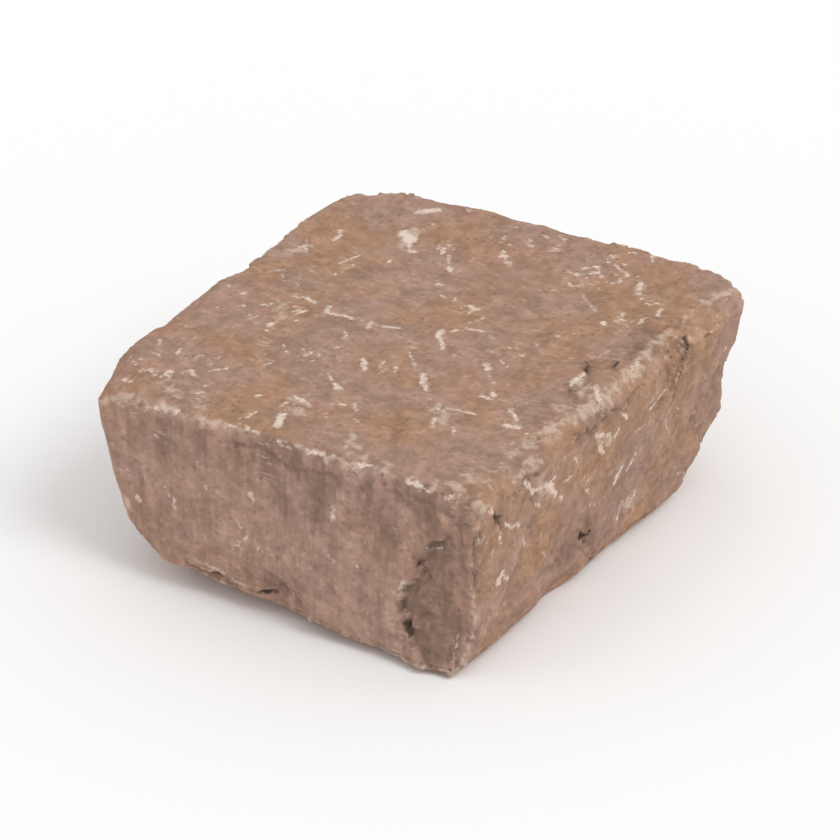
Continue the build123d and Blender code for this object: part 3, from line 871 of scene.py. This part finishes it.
def stone_material(finish):
    """Sandstone: body colours, grain, pale scuffs, bruised arrises, and painted shade in pits, cracks, hollows
    and flake scars.
    """
    material = bpy.data.materials.new("sandstone")
    material.use_nodes = True
    material.node_tree.nodes.clear()
    sheet = Sheet(material.node_tree)
    place = sheet.add("ShaderNodeTexCoord").outputs["Object"]

    grain_tone = sheet.noise(place, PATTERN["grain"], 1)
    body = body_colour(sheet, place, finish)
    light = sheet.mix(sheet.ease(grain_tone, 0.25, 0.75), (0.9, 0.895, 0.89, 1), grey(1.08))
    body = sheet.tinted(body, light)
    body = sheet.tinted(body, specks(sheet, place))
    bruise = bruised(sheet, place, grain_tone)
    body = sheet.mix(sheet.times(bruise, SHOWS["bruise"]), body, rgba(finish.bruised))
    scuff = scuffed(sheet, place)
    body = sheet.mix(sheet.times(scuff, SHOWS["scuff"]), body, rgba(finish.pale))
    # Painted shade in the hollows, where the skin bends inward, in the stain colour.
    body = sheet.mix(sheet.times(sheet.mask("hollow_shade"), SHOWS["hollow_shade"]), body, rgba(finish.stain_and_shade))
    # Painted shade: the pits and cracks are darkened nearly to black.
    speckle = sheet.noise(place, PATTERN["grain"], 2)
    pit_shade = sheet.ease(sheet.plus(sheet.mask("pit"), sheet.times(speckle, 0.6)), 0.72, 1.05)
    body = sheet.mix(sheet.times(pit_shade, SHOWS["pit_shade"]), body, rgba(finish.dark))

    pitted = sheet.times(speckle, sheet.minus(0.9, sheet.times(sheet.mask("head"), 0.45)))
    height = sheet.plus(sheet.times(grain_tone, 0.16), pitted)
    height = sheet.minus(height, sheet.times(scuff, 0.05))
    bump = sheet.add("ShaderNodeBump", {"Height": height, "Distance": 1.0 * MM, "Strength": 1.0})
    roughness = sheet.minus(0.95, sheet.times(grain_tone, 0.12))
    stone = sheet.add(
        "ShaderNodeBsdfPrincipled",
        {"Base Color": body, "Roughness": roughness, "Normal": bump.outputs[0], "Specular IOR Level": 0.3},
    )
    sheet.add("ShaderNodeOutputMaterial", {"Surface": stone.outputs[0]})
    return material


class SETT_OT_dress_stone(bpy.types.Operator):
    """Make the stone's fine mesh over its solid, with its relief, masks and finish"""

    bl_idname = "sett.dress_stone"
    bl_label = "Dress the stone"

    def execute(self, context):
        shape, finish = context.scene.sett_shape, context.scene.sett_finish
        mesh = voxel_mesh(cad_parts[NODE], shape.mesh_step)
        skin = Skin(mesh)
        masks = carve(skin, shape)
        scattered = scuffs(skin, masks, shape.scuff_clusters)
        masks["scuff"] = np.maximum(marked(skin, masks, SCUFFED, "scuff"), scattered)
        masks["bruise"] = marked(skin, masks, BRUISED, "bruise", CLOUDY)
        masks["stain_and_shade"] = marked(skin, masks, STAINED_AND_SHADED, "stain_and_shade", CLOUDY)
        mesh.vertices.foreach_set("co", skin.points.ravel())
        for name in FINISH_MASKS:
            mesh.attributes.new(name, "FLOAT", "POINT").data.foreach_set("value", masks[name])
        mesh.shade_smooth()
        mesh.update()
        mesh.materials.clear()
        mesh.materials.append(stone_material(finish))
        stone = bpy.data.objects.new("sandstone_sett", mesh)
        context.scene.collection.objects.link(stone)
        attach(stone, "root")
        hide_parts(NODE)
        return {"FINISHED"}


class SETT_OT_set_stage(bpy.types.Operator):
    """Lay the pale floor and set the light and the camera"""

    bl_idname = "sett.set_stage"
    bl_label = "Set the stage"

    def execute(self, context):
        stage = context.scene.sett_stage
        floor = bpy.data.meshes.new("floor")
        half = stage.floor_size / 2
        corners = [(-half, -half, 0), (half, -half, 0), (half, half, 0), (-half, half, 0)]
        floor.from_pydata(corners, [], [(0, 1, 2, 3)])
        floor.materials.append(floor_material(stage))
        ground = bpy.data.objects.new("floor", floor)
        context.scene.collection.objects.link(ground)
        set_world(context.scene, stage)
        set_key(context.scene, stage)
        set_camera(context.scene, stage)
        context.scene.view_settings.view_transform = "Standard"
        return {"FINISHED"}


def floor_material(stage):
    """Pale matt floor, white to the camera and a little greyer as a reflector."""
    material = bpy.data.materials.new("pale_floor")
    material.use_nodes = True
    material.node_tree.nodes.clear()
    sheet = Sheet(material.node_tree)
    seen = sheet.add("ShaderNodeLightPath").outputs["Is Camera Ray"]
    matt = sheet.add("ShaderNodeBsdfDiffuse", {"Color": sheet.mix(seen, rgba(stage.floor), WHITE)})
    sheet.add("ShaderNodeOutputMaterial", {"Surface": matt.outputs[0]})
    return material


def set_world(scene, stage):
    """Even light all round, white where the camera looks straight at it."""
    world = bpy.data.worlds.new("studio")
    world.use_nodes = True
    world.node_tree.nodes.clear()
    sheet = Sheet(world.node_tree)
    path = sheet.add("ShaderNodeLightPath").outputs
    seen = sheet.most(path["Is Camera Ray"], path["Is Glossy Ray"])
    seen = sheet.most(seen, path["Is Transmission Ray"])
    lit = sheet.add("ShaderNodeBackground", {"Color": WHITE, "Strength": stage.sky})
    white = sheet.add("ShaderNodeBackground", {"Color": WHITE, "Strength": 1.0})
    both = sheet.add("ShaderNodeMixShader", {0: seen, 1: lit.outputs[0], 2: white.outputs[0]})
    sheet.add("ShaderNodeOutputWorld", {"Surface": both.outputs[0]})
    scene.world = world


def from_bearing(bearing, height):
    """A direction turned from the front and raised above the floor."""
    level = math.cos(height)
    return Vector((math.sin(bearing) * level, -math.cos(bearing) * level, math.sin(height)))


def middle():
    """The middle of the stone."""
    return (LOW + HIGH) / 2


def set_key(scene, stage):
    """One wide soft light, as strong all over the floor."""
    lamp = bpy.data.lights.new("key", "SUN")
    lamp.energy = stage.key
    lamp.angle = stage.key_spread
    key = bpy.data.objects.new("key", lamp)
    out = from_bearing(stage.key_bearing, stage.key_height)
    key.location = middle() + out
    key.rotation_euler = out.to_track_quat("Z", "Y").to_euler()
    scene.collection.objects.link(key)


def set_camera(scene, stage):
    """The camera, from where the photograph was taken."""
    data = bpy.data.cameras.new("camera")
    data.lens = stage.lens
    data.clip_start, data.clip_end = 0.1, 100.0
    camera = bpy.data.objects.new("camera", data)
    out = from_bearing(stage.camera_bearing, stage.camera_height)
    camera.location = middle() + out * stage.camera_distance
    camera.rotation_euler = out.to_track_quat("Z", "Y").to_euler()
    scene.collection.objects.link(camera)
    scene.camera = camera


class SETT_PT_panel(bpy.types.Panel):
    """Lists the sett's settings and its two steps"""

    bl_label = "Sandstone sett"
    bl_idname = "SETT_PT_panel"
    bl_space_type = "VIEW_3D"
    bl_region_type = "UI"
    bl_category = "Sett"

    def draw(self, context):
        scene = context.scene
        for group in (scene.sett_shape, scene.sett_finish, scene.sett_stage):
            box = self.layout.box()
            for name in group.__annotations__:
                box.prop(group, name)
        self.layout.operator(SETT_OT_dress_stone.bl_idname)
        self.layout.operator(SETT_OT_set_stage.bl_idname)


CLASSES = (SettShape, SettFinish, SettStage, SETT_OT_dress_stone, SETT_OT_set_stage, SETT_PT_panel)
SETTINGS = {"sett_shape": SettShape, "sett_finish": SettFinish, "sett_stage": SettStage}


def register():
    for entry in CLASSES:
        bpy.utils.register_class(entry)
    for name, group in SETTINGS.items():
        setattr(bpy.types.Scene, name, PointerProperty(type=group))


def unregister():
    for name in SETTINGS:
        delattr(bpy.types.Scene, name)
    for entry in reversed(CLASSES):
        bpy.utils.unregister_class(entry)


def main():
    """Build the piece and the stage."""
    register()
    bpy.ops.sett.dress_stone()
    bpy.ops.sett.set_stage()


if __name__ == "__main__":
    main()
